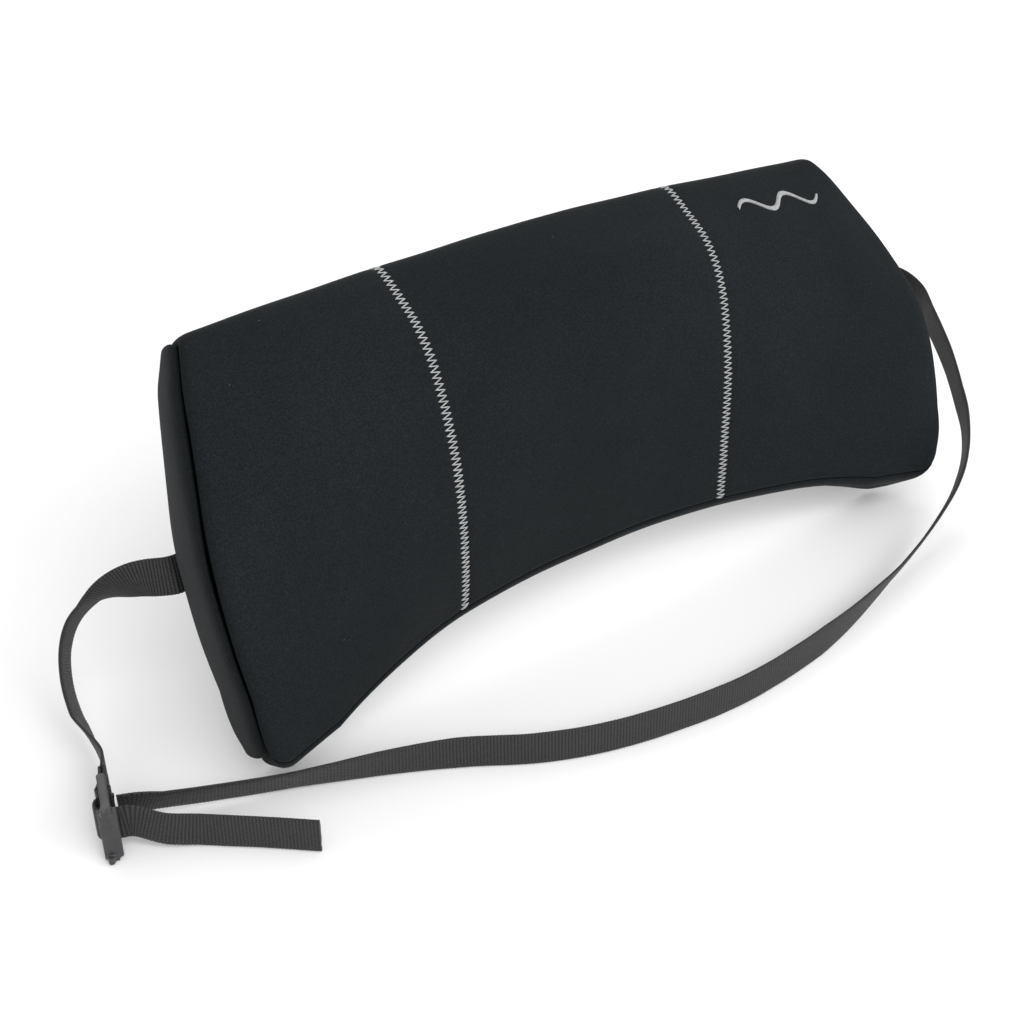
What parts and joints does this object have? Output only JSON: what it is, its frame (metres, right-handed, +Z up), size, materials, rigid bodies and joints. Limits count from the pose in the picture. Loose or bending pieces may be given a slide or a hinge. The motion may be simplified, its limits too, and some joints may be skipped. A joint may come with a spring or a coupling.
{
  "type": "lumbar support cushion",
  "caption": "Arched foam lumbar cushion with a soft black cover, flat back and a webbing strap joined by a ladder lock, to fasten round a chair back.",
  "frame": {"origin": "centre of the cushion's box, on the surface that the cushion stands on", "axes": "+X along the cushion's width, -Y towards its curved front, +Z up; the flat rear face reclines by 27.7 degrees"},
  "size_m": [0.4642, 0.1612, 0.1653],
  "materials": {
    "neoprene": "matt black brushed knit face over foam",
    "foam": "open-cell moulded polyurethane foam",
    "thread": "light grey polyester sewing thread",
    "webbing": "ribbed black polypropylene webbing",
    "black_thread": "black polyester sewing thread",
    "acetal": "moulded black acetal, fine satin"
  },
  "bodies": {
    "cushion": {"front_panel_left": "neoprene", "front_panel_centre": "neoprene", "front_panel_right": "neoprene", "bottom_panel": "neoprene", "back_panel": "neoprene", "end_panel_left": "neoprene", "end_panel_right": "neoprene", "foam_core": "foam", "seam_thread_left": "thread", "seam_thread_right": "thread", "embroidered_mark": "thread", "strap_foot_left": "webbing", "strap_foot_right": "webbing", "box_stitch_left": "black_thread", "box_stitch_right": "black_thread", "short_strap": "webbing", "long_strap": "webbing"},
    "strap_loop": {"short_strap_loop": "webbing", "loop_bar_tack": "black_thread"},
    "ladder_lock": {"ladder_lock": "acetal", "long_strap_tail": "webbing"}
  },
  "joints": [
    {"name": "adjuster_slide", "type": "slide", "parent": "cushion", "child": "strap_loop", "axis": [-0.9568, 0.2907, 0], "range_m": [0, 0.015]},
    {"name": "adjuster_tilt", "type": "hinge", "parent": "strap_loop", "child": "ladder_lock", "pos_m": [-0.22563, -0.02064, 0.0129], "axis": [0, 0, 1], "range_deg": [-25, 5]}
  ]
}
